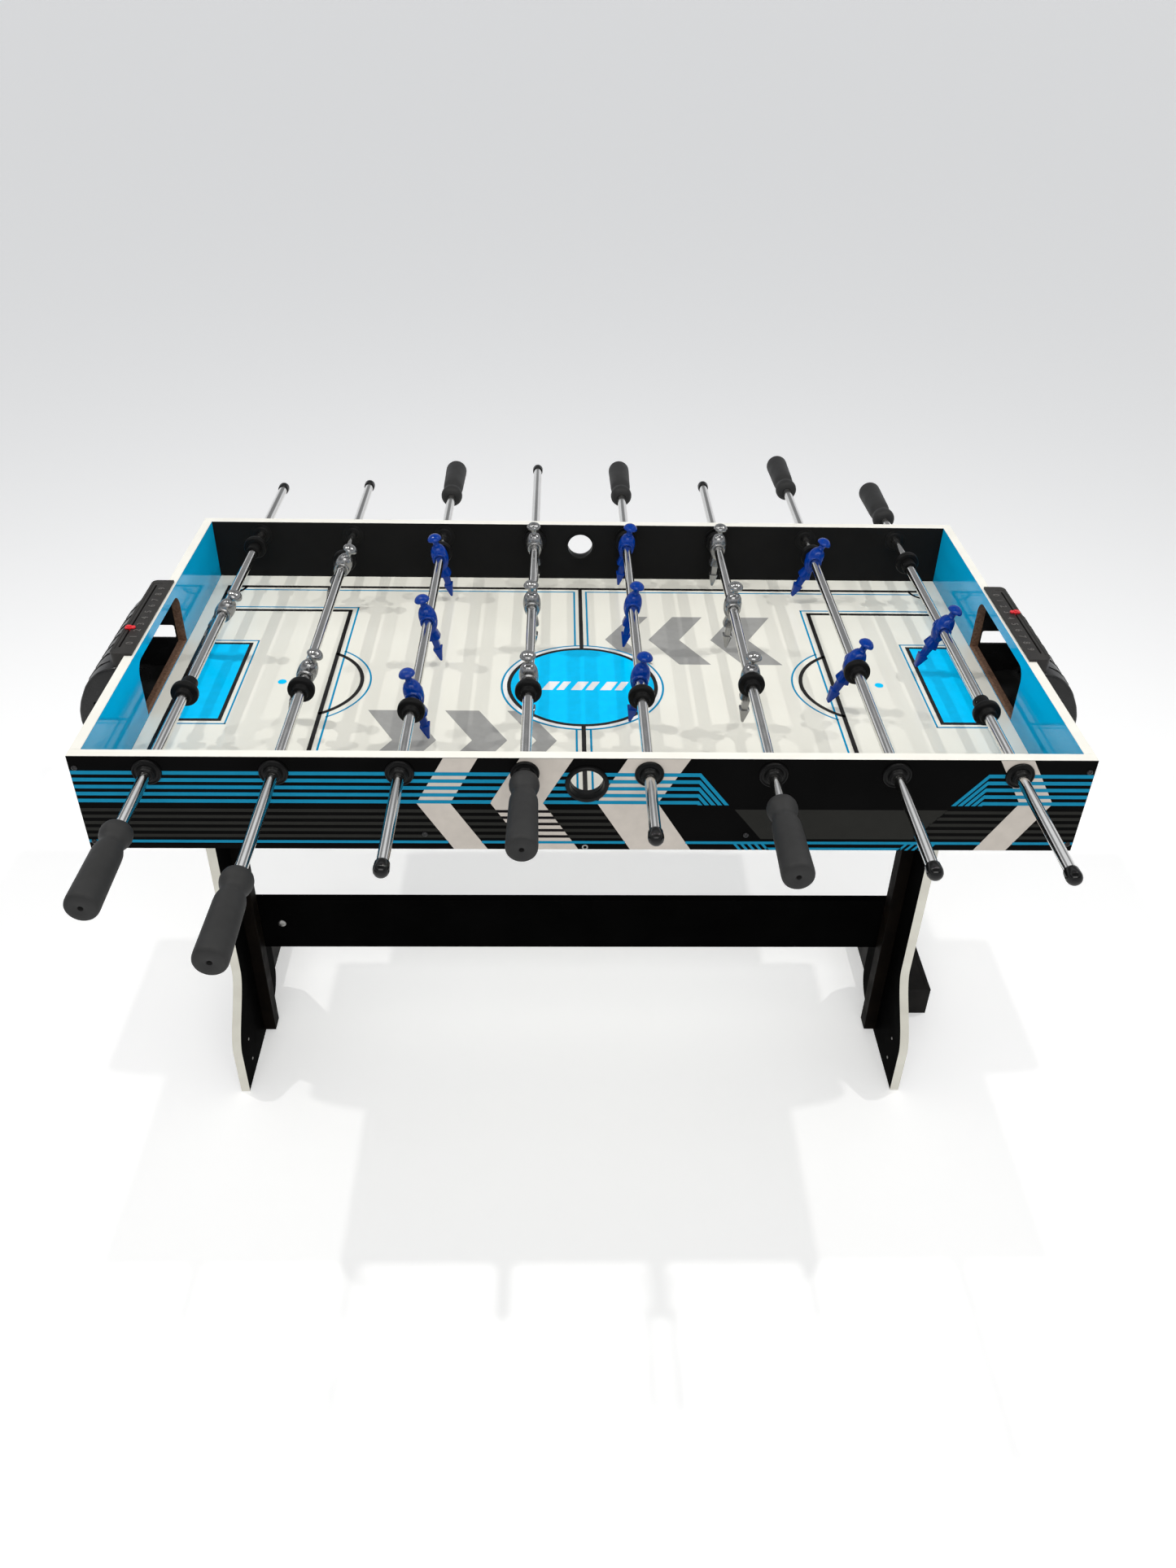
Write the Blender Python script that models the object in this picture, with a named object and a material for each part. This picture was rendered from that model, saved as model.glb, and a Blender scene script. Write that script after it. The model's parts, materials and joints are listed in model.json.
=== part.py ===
"""A home foosball table: an open play box with eight rods, on two boot-shaped legs.

World frame: X along the table, Y across it along the rods, Z up. The origin is on the floor under the
middle of the play box. Every object is one physical piece; an object's name is its node's name.
"""

import math

import bmesh
import bpy

# Play box
TABLE_LENGTH = 1.370
TABLE_WIDTH = 0.770
RIM_HEIGHT = 0.810
BOX_DEPTH = 0.155
PANEL = 0.015
FIT_GAP = 0.0003

# Playfield board, held in a groove of both side panels
FIELD_TOP = 0.702
FIELD_THICKNESS = 0.009
GROOVE_DEPTH = 0.006

# Goal mouths in the end panels, and the ball entries in the side panels
MOUTH_HALF_WIDTH = 0.118
MOUTH_SILL = 0.7035
MOUTH_TOP = 0.792
MOUTH_CORNER = 0.022
ENTRY_RADIUS = 0.0215
ENTRY_HEIGHT = 0.768

# Rods
ROD_HEIGHT = 0.785
ROD_PITCH = 0.1667
ROD_RADIUS = 0.0079
TUBE_BORE = 0.0064
BEARING_RADIUS = 0.0083
PLAYER_SPACING = {1: 0.0, 2: 0.3670, 3: 0.2336}
COLLAR_REACH = 0.232
COLLAR_RADIUS = 0.0115
COLLAR_LENGTH = 0.018
CAP_RADIUS = 0.0100
CAP_LENGTH = 0.022
GRIP_LENGTH = 0.150
GRIP_SOCKET = 0.120
BUMPER_LENGTH = 0.020

# One row for each rod, from the left: team, players, side of the grip (-1 front, +1 rear), rest place of
# the players' centre along the rod, lean of the players in degrees, front end, rear end, loose bumper
RODS = (
    ("silver", 1, -1, 0.068, 36.5, -0.658, 0.602, -0.190),
    ("silver", 2, -1, 0.056, 26.6, -0.746, 0.620, -0.1775),
    ("blue", 3, +1, 0.0465, -13.5, -0.597, 0.698, -0.2337),
    ("silver", 3, -1, 0.099, -2.0, -0.549, 0.713, -0.1789),
    ("blue", 3, +1, 0.098, 9.8, -0.534, 0.706, -0.1932),
    ("silver", 3, -1, 0.100, 4.1, -0.600, 0.632, -0.1564),
    ("blue", 2, +1, 0.0975, 24.4, -0.5995, 0.746, -0.1166),
    ("blue", 1, +1, 0.0267, 25.0, -0.608, 0.605, -0.2313),
)

# Goal box and score counter at each end
POCKET_HALF_WIDTH = 0.125
POCKET_WALL = 0.003
COUNTER_HALF_WIDTH = 0.1225
COUNTER_TOP = RIM_HEIGHT + 0.004
COUNTER_BOTTOM = 0.790
COUNTER_INNER = 0.6736
COUNTER_OUTER = 0.7075
SLOT_X = 0.697
SLOT_HALF_LENGTH = 0.102
MARKER_PLACES = {"left": -0.044, "right": 0.029}

# Base, which stands a little to the left of the box's middle; its sizes are from its own middle
BASE_SHIFT = -0.0115
LEG_INNER = 0.575
STRETCHER = ((-0.095, 0.195), (-0.080, 0.307))
FOOT_OUTER = {"left": 0.632, "right": 0.685}
FOOT_HEIGHT = 0.063
FOOT_SPAN = (-0.072, 0.175)
PLATE_SPAN = (0.535, 0.620)
PLATE_HALF_WIDTH = 0.345

ROUND = 12
HALF_LENGTH = TABLE_LENGTH / 2
HALF_WIDTH = TABLE_WIDTH / 2
BOX_BOTTOM = RIM_HEIGHT - BOX_DEPTH
SIDES = (("left", -1), ("right", +1))

COLOURS = {
    "black_laminate": ((0.012, 0.012, 0.013), 0.35, 0.0),
    "cyan_laminate": ((0.0, 0.29, 0.56), 0.2, 0.0),
    "playfield_print": ((0.86, 0.86, 0.85), 0.3, 0.0),
    "black_plastic": ((0.014, 0.014, 0.015), 0.4, 0.0),
    "rod_steel": ((0.62, 0.62, 0.64), 0.12, 1.0),
    "grip_rubber": ((0.030, 0.031, 0.033), 0.7, 0.0),
    "bumper_rubber": ((0.010, 0.010, 0.010), 0.6, 0.0),
    "silver_player": ((0.33, 0.34, 0.36), 0.25, 0.3),
    "blue_player": ((0.012, 0.035, 0.30), 0.2, 0.0),
    "marker_red": ((0.72, 0.02, 0.03), 0.35, 0.0),
}


def clear_scene():
    for old in list(bpy.data.objects):
        bpy.data.objects.remove(old, do_unlink=True)


def material(name):
    found = bpy.data.materials.get(name)
    if found:
        return found
    colour, roughness, metallic = COLOURS[name]
    made = bpy.data.materials.new(name)
    made.use_nodes = True
    shader = made.node_tree.nodes["Principled BSDF"]
    shader.inputs["Base Color"].default_value = (*colour, 1.0)
    shader.inputs["Roughness"].default_value = roughness
    shader.inputs["Metallic"].default_value = metallic
    return made


def place(name, mesh, material_name, location=(0.0, 0.0, 0.0), parent=None):
    """Puts a mesh in the scene as a named piece with its own material slot."""
    made = bpy.data.objects.new(name, mesh)
    bpy.context.scene.collection.objects.link(made)
    if not mesh.materials:
        mesh.materials.append(material(material_name))
    made.material_slots[0].link = "OBJECT"
    made.material_slots[0].material = material(material_name)
    made.location = location
    made.parent = parent
    return made


def mesh_from(bm, name, smooth=False):
    bmesh.ops.recalc_face_normals(bm, faces=bm.faces)
    mesh = bpy.data.meshes.new(name)
    bm.to_mesh(mesh)
    bm.free()
    if smooth:
        mesh.shade_smooth()
        mesh.set_sharp_from_angle(angle=math.radians(35))
    return mesh


def prism(name, outline, low, high, axis):
    """An outline of (across, up) points, extruded from low to high along X or Y."""
    bm = bmesh.new()
    rings = []
    for depth in (low, high):
        if axis == "X":
            rings.append([bm.verts.new((depth, a, b)) for a, b in outline])
        else:
            rings.append([bm.verts.new((a, depth, b)) for a, b in outline])
    bm.faces.new(rings[0])
    bm.faces.new(rings[1])
    count = len(outline)
    for i in range(count):
        j = (i + 1) % count
        bm.faces.new((rings[0][i], rings[0][j], rings[1][j], rings[1][i]))
    return mesh_from(bm, name)


def rectangle(low_a, low_b, high_a, high_b):
    return [(low_a, low_b), (high_a, low_b), (high_a, high_b), (low_a, high_b)]


def arc(centre, radius, start, end, steps):
    """Points on an arc between two angles in degrees, both ends included."""
    angles = [math.radians(start + (end - start) * i / steps) for i in range(steps + 1)]
    return [(centre[0] + radius * math.cos(t), centre[1] + radius * math.sin(t)) for t in angles]


def turned(name, profile, closed=False, segments=ROUND):
    """Turns a profile of (along Y, radius) points about the Y axis; radius 0 makes a pole."""
    bm = bmesh.new()
    rings = []
    for y, radius in profile:
        if radius == 0.0:
            rings.append([bm.verts.new((0.0, y, 0.0))])
            continue
        ring = []
        for i in range(segments):
            turn = math.tau * i / segments
            ring.append(bm.verts.new((radius * math.sin(turn), y, radius * math.cos(turn))))
        rings.append(ring)
    pairs = list(zip(rings, rings[1:]))
    if closed:
        pairs.append((rings[-1], rings[0]))
    for first, second in pairs:
        for i in range(segments):
            j = (i + 1) % segments
            if len(first) == 1:
                bm.faces.new((first[0], second[i], second[j]))
            elif len(second) == 1:
                bm.faces.new((first[i], first[j], second[0]))
            else:
                bm.faces.new((first[i], first[j], second[j], second[i]))
    return mesh_from(bm, name, smooth=True)


def cutter(name, mesh, location=(0.0, 0.0, 0.0)):
    made = bpy.data.objects.new(name, mesh)
    bpy.context.scene.collection.objects.link(made)
    made.location = location
    made.hide_render = True
    made.display_type = "WIRE"
    return made


def cut(piece, tool):
    step = piece.modifiers.new(tool.name, "BOOLEAN")
    step.operation = "DIFFERENCE"
    step.solver = "EXACT"
    step.object = tool


def pin_profile(reach, radius):
    return [(-reach, 0.0), (-reach, radius), (reach, radius), (reach, 0.0)]


def rod_x(number):
    return (number - 4.5) * ROD_PITCH


def make_side_panels():
    """Full-length panels with a groove for the playfield, eight rod bearings and a ball entry."""
    half = PANEL / 2
    groove_low = FIELD_TOP - FIELD_THICKNESS - FIT_GAP
    groove_high = FIELD_TOP + FIT_GAP
    for name, side in (("front_side_panel", -1), ("rear_side_panel", +1)):
        outer = side * HALF_WIDTH
        inner = side * (HALF_WIDTH - PANEL)
        bottom = side * (HALF_WIDTH - PANEL + GROOVE_DEPTH)
        outline = [(outer, BOX_BOTTOM), (outer, RIM_HEIGHT), (inner, RIM_HEIGHT), (inner, groove_high)]
        outline += [(bottom, groove_high), (bottom, groove_low), (inner, groove_low), (inner, BOX_BOTTOM)]
        mesh = prism(name, outline, -HALF_LENGTH, HALF_LENGTH, "X")
        panel = place(name, mesh, "black_laminate")
        middle = side * (HALF_WIDTH - half)
        for number in range(1, len(RODS) + 1):
            hole = turned("bearing", pin_profile(PANEL, BEARING_RADIUS), segments=16)
            cut(panel, cutter(f"cut_{name}_{number}", hole, (rod_x(number), middle, ROD_HEIGHT)))
        hole = turned("entry", pin_profile(PANEL, ENTRY_RADIUS), segments=24)
        cut(panel, cutter(f"cut_{name}_entry", hole, (0.0, middle, ENTRY_HEIGHT)))


def make_end_panels():
    """Panels between the side panels, each with a round-cornered goal mouth."""
    reach = HALF_WIDTH - PANEL - FIT_GAP
    wide = MOUTH_HALF_WIDTH
    mouth = [(-wide, MOUTH_SILL), (wide, MOUTH_SILL)]
    mouth += arc((wide - MOUTH_CORNER, MOUTH_TOP - MOUTH_CORNER), MOUTH_CORNER, 0, 90, 5)
    mouth += arc((MOUTH_CORNER - wide, MOUTH_TOP - MOUTH_CORNER), MOUTH_CORNER, 90, 180, 5)
    for label, side in SIDES:
        low, high = sorted((side * (HALF_LENGTH - PANEL), side * HALF_LENGTH))
        outline = rectangle(-reach, BOX_BOTTOM, reach, RIM_HEIGHT)
        panel = place(f"{label}_end_panel", prism("end_panel", outline, low, high, "X"), "cyan_laminate")
        tool = prism("mouth", mouth, low - PANEL, high + PANEL, "X")
        cut(panel, cutter(f"cut_{label}_mouth", tool))


def make_playfield():
    long = HALF_LENGTH - PANEL - FIT_GAP
    wide = HALF_WIDTH - PANEL + GROOVE_DEPTH - 2 * FIT_GAP
    outline = rectangle(-wide, FIELD_TOP - FIELD_THICKNESS, wide, FIELD_TOP)
    place("playfield", prism("playfield", outline, -long, long, "X"), "playfield_print")


def make_goal_boxes():
    """Bulging ball pockets outside the goal mouths, with a slot through both cheeks."""
    flange = HALF_LENGTH + FIT_GAP
    top = COUNTER_BOTTOM - FIT_GAP
    belly = [(0.735, 0.650), (0.757, 0.655), (0.770, 0.669), (0.775, 0.692), (0.7735, 0.712)]
    belly += [(0.768, 0.731), (0.756, 0.756), (0.746, 0.769), (0.734, 0.7795), (0.719, 0.786), (0.704, top)]
    wall = POCKET_WALL
    middle = (0.720, 0.722)
    for label, side in SIDES:
        shell = [(flange, 0.650)] + belly + [(flange, top)]
        hollow = [(HALF_LENGTH - wall, 0.650 + wall)]
        for x, z in belly:
            reach = math.hypot(x - middle[0], z - middle[1])
            share = 1 - 1.12 * wall / reach
            hollow.append((middle[0] + (x - middle[0]) * share, middle[1] + (z - middle[1]) * share))
        hollow.append((HALF_LENGTH - wall, top - 1.12 * wall))
        wide = POCKET_HALF_WIDTH
        mesh = prism("goal_box", [(side * x, z) for x, z in shell], -wide, wide, "Y")
        box = place(f"{label}_goal_box", mesh, "black_plastic")
        inside = prism("pocket", [(side * x, z) for x, z in hollow], wall - wide, wide - wall, "Y")
        cut(box, cutter(f"cut_{label}_pocket", inside))
        low, high = sorted((side * 0.697, side * 0.745))
        slot = prism("slot", rectangle(low, 0.708, high, 0.730), -wide - 0.01, wide + 0.01, "Y")
        cut(box, cutter(f"cut_{label}_slot", slot))


def make_score_counters():
    """A bar outside each end that laps over the rim, with a slot along which a marker slides."""
    low = COUNTER_BOTTOM
    for label, side in SIDES:
        lap = RIM_HEIGHT + FIT_GAP
        wall = HALF_LENGTH + FIT_GAP
        outline = [(COUNTER_INNER, lap), (COUNTER_INNER, COUNTER_TOP), (COUNTER_OUTER, COUNTER_TOP)]
        outline += [(COUNTER_OUTER, low), (wall, low), (wall, lap)]
        outline = [(side * a, b) for a, b in outline]
        wide = COUNTER_HALF_WIDTH
        bar = place(f"{label}_score_counter", prism("counter", outline, -wide, wide, "Y"), "black_plastic")
        middle = side * SLOT_X
        groove = rectangle(middle - 0.002, COUNTER_TOP - 0.012, middle + 0.002, COUNTER_TOP + 0.01)
        tool = prism("groove", groove, -SLOT_HALF_LENGTH, SLOT_HALF_LENGTH, "Y")
        cut(bar, cutter(f"cut_{label}_groove", tool))
        make_marker(label, middle, MARKER_PLACES[label])


def make_marker(label, x, y):
    """A T-shaped marker whose stem stands in the slot."""
    head = COUNTER_TOP + FIT_GAP
    outline = [(-0.0015, -0.010), (0.0015, -0.010), (0.0015, 0.0), (0.008, 0.0), (0.008, 0.004)]
    outline += [(0.003, 0.008), (-0.003, 0.008), (-0.008, 0.004), (-0.008, 0.0), (-0.0015, 0.0)]
    mesh = prism("marker", outline, -0.005, 0.005, "Y")
    place(f"{label}_score_marker", mesh, "marker_red", (x, y, head))


def make_legs():
    """Boot-shaped panels: a straight front edge that sweeps out to a toe, and a heel behind."""
    sweep = []
    for i in range(9):
        share = i / 8
        sweep.append((-0.185 - 0.0375 * (1 - math.cos(math.pi * share)), 0.225 - 0.130 * share))
    top = BOX_BOTTOM - PANEL - 2 * FIT_GAP
    outline = [(-0.185, top)] + sweep + [(-0.260, 0.0)]
    outline += arc((-0.045, 0.050), 0.050, -90, 0, 5)
    outline += [(0.005, 0.135), (-0.035, 0.250), (-0.035, top)]
    for label, side in SIDES:
        low, high = sorted((side * LEG_INNER, side * (LEG_INNER + PANEL)))
        place(f"{label}_leg", prism("leg", outline, low, high, "X"), "black_laminate", (BASE_SHIFT, 0.0, 0.0))


def make_base_boards():
    """The stretcher between the legs, the feet that run back, and the plates that carry the box."""
    (front, low), (rear, high) = STRETCHER
    reach = LEG_INNER - FIT_GAP
    board = prism("stretcher", rectangle(front, low, rear, high), -reach, reach, "X")
    middle = (BASE_SHIFT, 0.0, 0.0)
    place("leg_stretcher", board, "black_laminate", middle)
    near, far = FOOT_SPAN
    foot = [(near, 0.0), (far, 0.0), (far, FOOT_HEIGHT - 0.004), (far - 0.004, FOOT_HEIGHT)]
    foot += [(near + 0.004, FOOT_HEIGHT), (near, FOOT_HEIGHT - 0.004)]
    top = BOX_BOTTOM - FIT_GAP
    plate = rectangle(-PLATE_HALF_WIDTH, top - PANEL, PLATE_HALF_WIDTH, top)
    for label, side in SIDES:
        low, high = sorted((side * (LEG_INNER + PANEL + FIT_GAP), side * FOOT_OUTER[label]))
        place(f"{label}_rear_foot", prism("foot", foot, low, high, "X"), "black_laminate", middle)
        low, high = sorted((side * PLATE_SPAN[0], side * PLATE_SPAN[1]))
        place(f"{label}_mounting_plate", prism("plate", plate, low, high, "X"), "black_laminate", middle)


def bar_profile(players, grip_side, centre, front, rear):
    """A steel tube, open inside the grip, with a rubber end cap and, on a goalkeeper rod, two collars."""
    grip_end, cap_end = (front, rear) if grip_side < 0 else (rear, front)
    out = -grip_side
    tube_end = grip_end + out * (GRIP_LENGTH - GRIP_SOCKET + 0.001)
    shoulder = cap_end - out * CAP_LENGTH
    profile = [(shoulder, 0.0), (shoulder, TUBE_BORE), (tube_end, TUBE_BORE), (tube_end, ROD_RADIUS)]
    if players == 1:
        for place_y in (centre - out * COLLAR_REACH, centre + out * COLLAR_REACH):
            for reach in (-out * COLLAR_LENGTH / 2, out * COLLAR_LENGTH / 2):
                ends = [(place_y + reach, ROD_RADIUS), (place_y + reach, COLLAR_RADIUS)]
                profile += ends if reach * out < 0 else ends[::-1]
    profile += [(shoulder, ROD_RADIUS), (shoulder, CAP_RADIUS), (cap_end - out * 0.010, CAP_RADIUS)]
    profile += [(cap_end - out * 0.003, 0.0070), (cap_end, 0.0)]
    return profile


def grip_profile(grip_side, front, rear):
    """A turned grip: a bulb and a neck towards the table, a swelling body and a flat end."""
    grip_end = front if grip_side < 0 else rear
    out = grip_side
    inner = grip_end - out * GRIP_LENGTH
    shape = [(0.000, 0.0120), (0.003, 0.0172), (0.014, 0.0204), (0.025, 0.0182), (0.034, 0.0154)]
    shape += [(0.046, 0.0184), (0.100, 0.0198), (0.142, 0.0206), (0.150, 0.0175)]
    socket = [(GRIP_SOCKET, 0.0), (GRIP_SOCKET, ROD_RADIUS + FIT_GAP), (0.0, ROD_RADIUS + FIT_GAP)]
    return [(inner + out * y, r) for y, r in socket + shape] + [(grip_end, 0.0)]


def bumper_profile():
    """A rubber ring with a tapered hub, loose on the rod."""
    bore = ROD_RADIUS + FIT_GAP
    half = BUMPER_LENGTH / 2
    hub = [(-half, bore), (-half, 0.0115), (-0.004, 0.0130)]
    return hub + [(-0.001, 0.0198), (half - 0.003, 0.0198), (half, 0.0178), (half, bore)]


def player_mesh():
    """A player standing up from the rod: wedge foot, shin, flared shorts, chest, neck and capped head."""
    sections = (
        (-0.0755, 0.0080, 0.0105),
        (-0.0700, 0.0098, 0.0118),
        (-0.0590, 0.0072, 0.0112),
        (-0.0500, 0.0056, 0.0078),
        (-0.0350, 0.0068, 0.0082),
        (-0.0320, 0.0118, 0.0125),
        (-0.0140, 0.0112, 0.0118),
        (-0.0060, 0.0128, 0.0128),
        (0.0060, 0.0130, 0.0128),
        (0.0150, 0.0110, 0.0122),
        (0.0215, 0.0052, 0.0055),
        (0.0260, 0.0062, 0.0062),
        (0.0310, 0.0112, 0.0112),
        (0.0360, 0.0104, 0.0104),
        (0.0410, 0.0056, 0.0056),
    )
    corners = 8
    bm = bmesh.new()
    rings = []
    for height, deep, wide in sections:
        turns = [math.tau * (i + 0.5) / corners for i in range(corners)]
        rings.append([bm.verts.new((deep * math.cos(t), wide * math.sin(t), height)) for t in turns])
    bm.faces.new(rings[0])
    bm.faces.new(rings[-1])
    for lower, upper in zip(rings, rings[1:]):
        for i in range(corners):
            j = (i + 1) % corners
            bm.faces.new((lower[i], lower[j], upper[j], upper[i]))
    solid = place("player_pattern", mesh_from(bm, "player", smooth=True), "silver_player")
    bore = ROD_RADIUS + FIT_GAP
    hole = turned("player_bore", pin_profile(0.03, bore))
    tool = cutter("cut_player", hole)
    cut(solid, tool)
    bored = bpy.data.meshes.new_from_object(solid.evaluated_get(bpy.context.evaluated_depsgraph_get()))
    for done in (solid, tool):
        bpy.data.objects.remove(done, do_unlink=True)
    return bored


def make_rods():
    player = player_mesh()
    bumper = turned("bumper", bumper_profile(), closed=True)
    for number, (team, players, grip_side, centre, lean, front, rear, loose) in enumerate(RODS, 1):
        axis = bpy.data.objects.new(f"rod_{number}_axis", None)
        bpy.context.scene.collection.objects.link(axis)
        axis.location = (rod_x(number), 0.0, ROD_HEIGHT)
        axis.rotation_euler = (0.0, math.radians(lean), 0.0)
        bar = turned("bar", bar_profile(players, grip_side, centre, front, rear))
        place(f"rod_{number}_bar", bar, "rod_steel", parent=axis)
        grip = turned("grip", grip_profile(grip_side, front, rear))
        place(f"rod_{number}_grip", grip, "grip_rubber", parent=axis)
        spacing = PLAYER_SPACING[players]
        for i in range(players):
            y = centre + (i - (players - 1) / 2) * spacing
            piece = place(f"rod_{number}_player_{i + 1}", player, f"{team}_player", (0.0, y, 0.0), axis)
            piece.data = player
        place(f"rod_{number}_bumper", bumper, "bumper_rubber", (rod_x(number), loose, ROD_HEIGHT))


clear_scene()
make_side_panels()
make_end_panels()
make_playfield()
make_goal_boxes()
make_score_counters()
make_legs()
make_base_boards()
make_rods()
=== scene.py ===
"""The finished look of a home foosball table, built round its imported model.

Metres, in the model's frame: X along the table, Y across it along the rods, Z up, floor at 0.
"""

import json
import math

import bmesh
import bpy
from mathutils import Matrix, Vector


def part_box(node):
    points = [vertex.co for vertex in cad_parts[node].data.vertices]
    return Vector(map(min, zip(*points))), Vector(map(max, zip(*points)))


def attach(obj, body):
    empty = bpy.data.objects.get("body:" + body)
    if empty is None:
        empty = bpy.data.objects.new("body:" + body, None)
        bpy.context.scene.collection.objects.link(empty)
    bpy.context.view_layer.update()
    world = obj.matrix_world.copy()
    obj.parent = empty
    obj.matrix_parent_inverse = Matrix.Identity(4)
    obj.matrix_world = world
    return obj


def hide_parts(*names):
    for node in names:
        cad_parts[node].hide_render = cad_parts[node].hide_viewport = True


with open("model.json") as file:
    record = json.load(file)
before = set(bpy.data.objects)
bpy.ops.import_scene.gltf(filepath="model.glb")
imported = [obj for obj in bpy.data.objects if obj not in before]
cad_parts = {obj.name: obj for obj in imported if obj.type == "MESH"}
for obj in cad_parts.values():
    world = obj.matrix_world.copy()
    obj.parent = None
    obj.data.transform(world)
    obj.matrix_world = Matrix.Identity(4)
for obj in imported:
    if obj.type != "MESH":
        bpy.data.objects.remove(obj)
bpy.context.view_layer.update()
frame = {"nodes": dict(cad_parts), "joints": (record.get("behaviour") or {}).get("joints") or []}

LEANS = (36.5, 26.6, -13.5, -2.0, 9.8, 4.1, 24.4, 25.0)
TEAMS = ("silver", "silver", "blue", "silver", "blue", "silver", "blue", "blue")
GRIP_SIDES = (-1, -1, 1, -1, 1, -1, 1, 1)
FAR_BUMPERS = (0.32, 0.266, 0.305, None, None, None, 0.305, None)
TUBE = 0.0079
SIDES = (("left", -1), ("right", 1))
LONG_SIDES = (("front", -1), ("rear", 1))
BAND = 0.0009  # thickness of the light edge banding

front_low, front_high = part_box("front_side_panel")
rear_low, rear_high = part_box("rear_side_panel")
LENGTH = front_high.x
WIDTH = rear_high.y
PANEL = front_high.y - front_low.y
RIM = front_high.z
BOTTOM = front_low.z
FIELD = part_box("playfield")[1].z
SPINS = {j["name"]: Vector(j["pos_m"]) for j in frame["joints"] if j["type"] == "hinge"}
SLIDES = {j["name"]: j["range_m"][1] for j in frame["joints"] if j["type"] == "slide"}
ROD_X = [SPINS[f"rod_{n}_spin"].x for n in range(1, 9)]
ROD_Z = SPINS["rod_1_spin"].z
ENTRY_Z = 0.768


# ---------------------------------------------------------------- materials

def principled(name, colour, roughness, metallic=0.0, coat=0.0, specular=0.5, ior=1.5):
    made = bpy.data.materials.new(name)
    made.use_nodes = True
    shader = made.node_tree.nodes["Principled BSDF"]
    shader.inputs["Base Color"].default_value = (*colour, 1.0)
    shader.inputs["Roughness"].default_value = roughness
    shader.inputs["Metallic"].default_value = metallic
    shader.inputs["Coat Weight"].default_value = coat
    shader.inputs["Coat Roughness"].default_value = 0.05
    shader.inputs["Specular IOR Level"].default_value = specular
    shader.inputs["IOR"].default_value = ior
    made.diffuse_color = (*colour, 1.0)
    return made


def node(made, kind, **values):
    new = made.node_tree.nodes.new(kind)
    for key, value in values.items():
        if hasattr(new, key):
            setattr(new, key, value)
        else:
            new.inputs[key].default_value = value
    return new


def noise(made, scale, detail=3.0, stretch=(1.0, 1.0, 1.0)):
    """A noise texture on the piece's own metres."""
    place = node(made, "ShaderNodeTexCoord")
    fit = node(made, "ShaderNodeMapping")
    fit.inputs["Scale"].default_value = stretch
    texture = node(made, "ShaderNodeTexNoise", Scale=scale, Detail=detail)
    made.node_tree.links.new(place.outputs["Object"], fit.inputs["Vector"])
    made.node_tree.links.new(fit.outputs["Vector"], texture.inputs["Vector"])
    return texture.outputs["Fac"]


def spread(made, factor, low, high, start=0.3, end=0.7):
    """Maps a noise value to the range low to high."""
    ramp = node(made, "ShaderNodeMapRange")
    ramp.inputs["From Min"].default_value = start
    ramp.inputs["From Max"].default_value = end
    ramp.inputs["To Min"].default_value = low
    ramp.inputs["To Max"].default_value = high
    made.node_tree.links.new(factor, ramp.inputs["Value"])
    return ramp.outputs["Result"]


def vary_roughness(made, scale, low, high, stretch=(1.0, 1.0, 1.0)):
    shader = made.node_tree.nodes["Principled BSDF"]
    value = spread(made, noise(made, scale, 4.0, stretch), low, high)
    made.node_tree.links.new(value, shader.inputs["Roughness"])


def vary_colour(made, scale, other, share=1.0, stretch=(1.0, 1.0, 1.0), start=0.35, end=0.65, detail=3.0):
    """Mixes the base colour towards another one where a noise is high."""
    shader = made.node_tree.nodes["Principled BSDF"]
    mix = node(made, "ShaderNodeMix", data_type="RGBA")
    factor = spread(made, noise(made, scale, detail, stretch), 0.0, share, start, end)
    made.node_tree.links.new(factor, mix.inputs["Factor"])
    socket_a = [s for s in mix.inputs if s.name == "A" and s.type == "RGBA"][0]
    socket_b = [s for s in mix.inputs if s.name == "B" and s.type == "RGBA"][0]
    socket_a.default_value = shader.inputs["Base Color"].default_value
    socket_b.default_value = (*other, 1.0)
    result = [s for s in mix.outputs if s.type == "RGBA"][0]
    made.node_tree.links.new(result, shader.inputs["Base Color"])


def bump(made, scale, distance, strength=1.0, stretch=(1.0, 1.0, 1.0), detail=3.0):
    shader = made.node_tree.nodes["Principled BSDF"]
    step = node(made, "ShaderNodeBump", Strength=strength, Distance=distance)
    made.node_tree.links.new(noise(made, scale, detail, stretch), step.inputs["Height"])
    made.node_tree.links.new(step.outputs["Normal"], shader.inputs["Normal"])
    if shader.inputs["Coat Weight"].default_value > 0:
        made.node_tree.links.new(step.outputs["Normal"], shader.inputs["Coat Normal"])


def finish_of(name, colour, roughness, spots=None, grain=None, texture=None, **rest):
    """A principled material with colour variation, roughness variation and bump where given."""
    made = principled(name, colour, sum(roughness) / 2, **rest)
    if spots:
        vary_colour(made, *spots)
    if grain:
        vary_roughness(made, grain, *roughness)
    if texture:
        bump(made, *texture)
    return made


def paint(name, colour, roughness=(0.16, 0.26), coat=0.08, specular=0.2):
    """Ink under the same clear film as its board."""
    darker = tuple(c * 0.93 for c in colour)
    return finish_of(name, colour, roughness, (60.0, darker), 9.0, (700.0, 0.00002),
                     coat=coat, specular=specular)


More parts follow.
